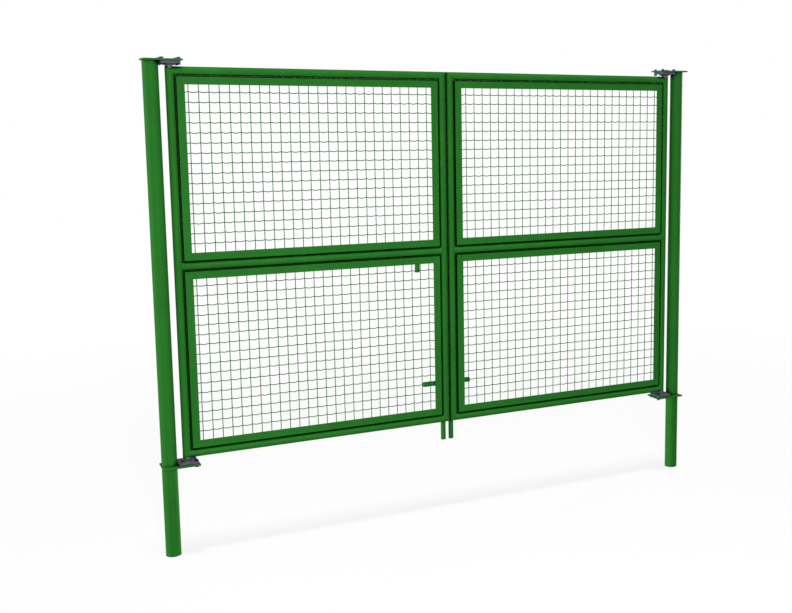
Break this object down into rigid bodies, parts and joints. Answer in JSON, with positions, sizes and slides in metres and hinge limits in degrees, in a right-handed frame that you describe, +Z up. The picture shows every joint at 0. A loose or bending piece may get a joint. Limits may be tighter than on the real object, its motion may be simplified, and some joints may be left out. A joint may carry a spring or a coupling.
{
  "type": "double swing gate",
  "caption": "Double swing gate with round steel posts, tube-framed wire mesh leaves on flange bearings, drop bolts and a slide bolt.",
  "frame": {"origin": "centre of the left post's bottom end, on its end face", "axes": "+X along the closed gate to the right post, +Y to the back where the bolts are, +Z up"},
  "size_m": [3.156, 0.12, 2.5162],
  "materials": {
    "green_paint": "smooth semi-gloss green paint on steel",
    "mesh_wire": "green painted steel wire",
    "bearing_casting": "grey cast flange bearing",
    "pivot_steel": "turned steel",
    "bolt_plating": "dark blue coated bolts"
  },
  "bodies": {
    "posts": {"left_post": "green_paint", "left_top_plate": "green_paint", "left_lower_plate": "green_paint", "left_top_bearing": "bearing_casting", "left_lower_bearing": "bearing_casting", "left_top_bolts": "bolt_plating", "left_lower_bolts": "bolt_plating", "right_post": "green_paint", "right_top_plate": "green_paint", "right_lower_plate": "green_paint", "right_top_bearing": "bearing_casting", "right_lower_bearing": "bearing_casting", "right_top_bolts": "bolt_plating", "right_lower_bolts": "bolt_plating"},
    "left_leaf": {"left_top_pivot": "pivot_steel", "left_lower_pivot": "pivot_steel", "left_hinge_stile": "green_paint", "left_lock_stile": "green_paint", "left_top_rail": "green_paint", "left_mid_rail": "green_paint", "left_bottom_rail": "green_paint", "left_upper_panel_sides": "green_paint", "left_upper_panel_rails": "green_paint", "left_upper_mesh": "mesh_wire", "left_lower_panel_sides": "green_paint", "left_lower_panel_rails": "green_paint", "left_lower_mesh": "mesh_wire", "left_drop_guides": "green_paint", "slide_guides": "green_paint"},
    "right_leaf": {"right_top_pivot": "pivot_steel", "right_lower_pivot": "pivot_steel", "right_hinge_stile": "green_paint", "right_lock_stile": "green_paint", "right_top_rail": "green_paint", "right_mid_rail": "green_paint", "right_bottom_rail": "green_paint", "right_upper_panel_sides": "green_paint", "right_upper_panel_rails": "green_paint", "right_upper_mesh": "mesh_wire", "right_lower_panel_sides": "green_paint", "right_lower_panel_rails": "green_paint", "right_lower_mesh": "mesh_wire", "right_drop_guides": "green_paint", "slide_keeper": "green_paint"},
    "left_drop_bolt": {"left_drop_bolt": "green_paint"},
    "right_drop_bolt": {"right_drop_bolt": "green_paint"},
    "slide_bolt": {"slide_bolt": "green_paint"}
  },
  "joints": [
    {"name": "left_leaf_hinge", "type": "hinge", "parent": "posts", "child": "left_leaf", "pos_m": [0.088, 0, 0.474], "axis": [0, 0, 1], "range_deg": [-90, 90]},
    {"name": "right_leaf_hinge", "type": "hinge", "parent": "posts", "child": "right_leaf", "pos_m": [2.988, 0, 0.474], "axis": [0, 0, -1], "range_deg": [-90, 90]},
    {"name": "left_drop_slide", "type": "slide", "parent": "left_leaf", "child": "left_drop_bolt", "axis": [0, 0, 1], "range_m": [0, 0.11]},
    {"name": "right_drop_slide", "type": "slide", "parent": "right_leaf", "child": "right_drop_bolt", "axis": [0, 0, 1], "range_m": [0, 0.11]},
    {"name": "slide_bolt_slide", "type": "slide", "parent": "left_leaf", "child": "slide_bolt", "axis": [1, 0, 0], "range_m": [0, 0.065]}
  ]
}
